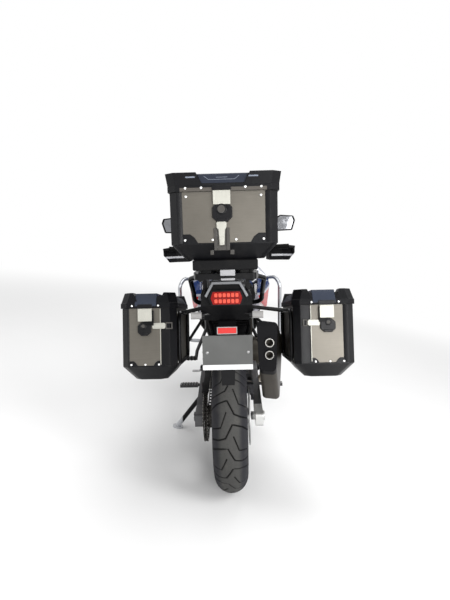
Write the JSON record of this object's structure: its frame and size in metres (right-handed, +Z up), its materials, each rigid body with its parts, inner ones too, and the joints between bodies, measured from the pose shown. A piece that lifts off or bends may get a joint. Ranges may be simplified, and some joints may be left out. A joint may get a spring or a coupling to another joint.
{
  "type": "adventure motorcycle",
  "caption": "Adventure touring motorcycle with a top case and side cases, leaning on its side stand; wheels, steering, stand and case lids move.",
  "frame": {"origin": "on the ground below the middle of the parked motorcycle's bounding box", "axes": "+Y forward along the wheels, +X to the right, +Z up; the machine leans 10 degrees to the left on its side stand"},
  "size_m": [1.0638, 2.3666, 1.4385],
  "materials": {
    "frame_black": "satin black paint",
    "engine_grey": "dark grey coated castings",
    "exhaust_steel": "heat-tinted stainless steel",
    "silencer_grey": "satin grey-brown shell with a black end cap",
    "plate_alloy": "brushed alloy plate",
    "bar_silver": "silver-grey anodised bar",
    "guard_steel": "satin stainless tube",
    "tank_blue": "gloss dark blue paint",
    "panel_white": "gloss white and red panels",
    "cowl_blue": "gloss dark blue plastic",
    "trim_black": "grained black plastic",
    "lamp_glass": "clear lamp lens",
    "screen_clear": "clear windscreen",
    "display_black": "gloss black display",
    "seat_vinyl": "grained black seat cover",
    "tail_lamp_red": "red lamp lens",
    "indicator_clear": "pale lamp lens",
    "plate_bare": "bare dark plate",
    "carrier_grey": "grey powder coat",
    "case_alloy": "brushed grey-brown alloy sheet",
    "lock_black": "black lock body",
    "rack_steel": "black powder-coated tube",
    "arm_alloy": "cast alloy",
    "spring_steel": "painted spring on a black damper",
    "chain_steel": "oiled steel links",
    "disc_steel": "ground brake disc",
    "caliper_black": "coated caliper",
    "peg_steel": "steel peg with rubber",
    "fork_gold": "anodised fork tube",
    "guard_black": "black hand guard with a pale stripe",
    "mirror_black": "black housing with a mirror face",
    "tyre_rubber": "road and trail tyre",
    "rim_black": "black anodised rim, steel spokes"
  },
  "bodies": {
    "chassis": {"main_frame": "frame_black", "subframe": "frame_black", "engine": "engine_grey", "radiators": "trim_black", "exhaust_pipes": "exhaust_steel", "silencer": "silencer_grey", "skid_plate": "plate_alloy", "crash_bars": "guard_steel", "fuel_tank": "tank_blue", "side_fairings": "panel_white", "front_cowl": "cowl_blue", "headlamps": "lamp_glass", "windscreen": "screen_clear", "instrument_panel": "display_black", "rider_seat": "seat_vinyl", "pillion_seat": "seat_vinyl", "side_covers": "trim_black", "tail_unit": "trim_black", "tail_lamp": "tail_lamp_red", "rear_indicators": "indicator_clear", "plate_hanger": "trim_black", "number_plate": "plate_bare", "rear_carrier": "carrier_grey", "case_locks": "lock_black", "pannier_racks": "rack_steel", "swing_arm": "arm_alloy", "rear_shock": "spring_steel", "drive_chain": "chain_steel", "chain_guard": "trim_black", "rear_caliper": "caliper_black", "footpegs": "peg_steel", "foot_controls": "peg_steel", "top_case_body": "case_alloy", "left_pannier_body": "case_alloy", "right_pannier_body": "case_alloy"},
    "steering": {"fork": "fork_gold", "front_calipers": "caliper_black", "front_fender": "cowl_blue", "handlebar": "bar_silver", "hand_guards": "guard_black", "mirrors": "mirror_black"},
    "front_wheel": {"front_tyre": "tyre_rubber", "front_rim": "rim_black", "front_discs": "disc_steel"},
    "rear_wheel": {"rear_tyre": "tyre_rubber", "rear_rim": "rim_black", "rear_sprocket": "chain_steel", "rear_disc": "disc_steel"},
    "side_stand": {"side_stand": "frame_black"},
    "top_case_lid": {"top_case_lid": "case_alloy"},
    "left_pannier_lid": {"left_pannier_lid": "case_alloy"},
    "right_pannier_lid": {"right_pannier_lid": "case_alloy"}
  },
  "joints": [
    {"name": "steering_turn", "type": "hinge", "parent": "chassis", "child": "steering", "pos_m": [-0.00744, 0.53308, 0.78618], "axis": [-0.154, -0.4617, 0.8735], "range_deg": [-40, 40]},
    {"name": "front_wheel_spin", "type": "hinge", "parent": "steering", "child": "front_wheel", "pos_m": [0.07069, 0.83565, 0.3431], "axis": [0.9848, 0, 0.1736], "continuous": true},
    {"name": "rear_wheel_spin", "type": "hinge", "parent": "chassis", "child": "rear_wheel", "pos_m": [0.07305, -0.73935, 0.32967], "axis": [0.9848, 0, 0.1736], "continuous": true},
    {"name": "side_stand_swing", "type": "hinge", "parent": "chassis", "child": "side_stand", "pos_m": [-0.06689, -0.25935, 0.25955], "axis": [-0.8318, 0.2983, 0.4681], "range_deg": [0, 100.11]},
    {"name": "top_case_hinge", "type": "hinge", "parent": "chassis", "child": "top_case_lid", "pos_m": [-0.09872, -0.75435, 1.30388], "axis": [-0.9848, 0, -0.1736], "range_deg": [0, 95]},
    {"name": "left_pannier_hinge", "type": "hinge", "parent": "chassis", "child": "left_pannier_lid", "pos_m": [-0.32478, -0.52114, 0.74309], "axis": [-0.9848, 0, -0.1736], "range_deg": [0, 95]},
    {"name": "right_pannier_hinge", "type": "hinge", "parent": "chassis", "child": "right_pannier_lid", "pos_m": [0.37444, -0.52114, 0.86638], "axis": [-0.9848, 0, -0.1736], "range_deg": [0, 95]}
  ]
}
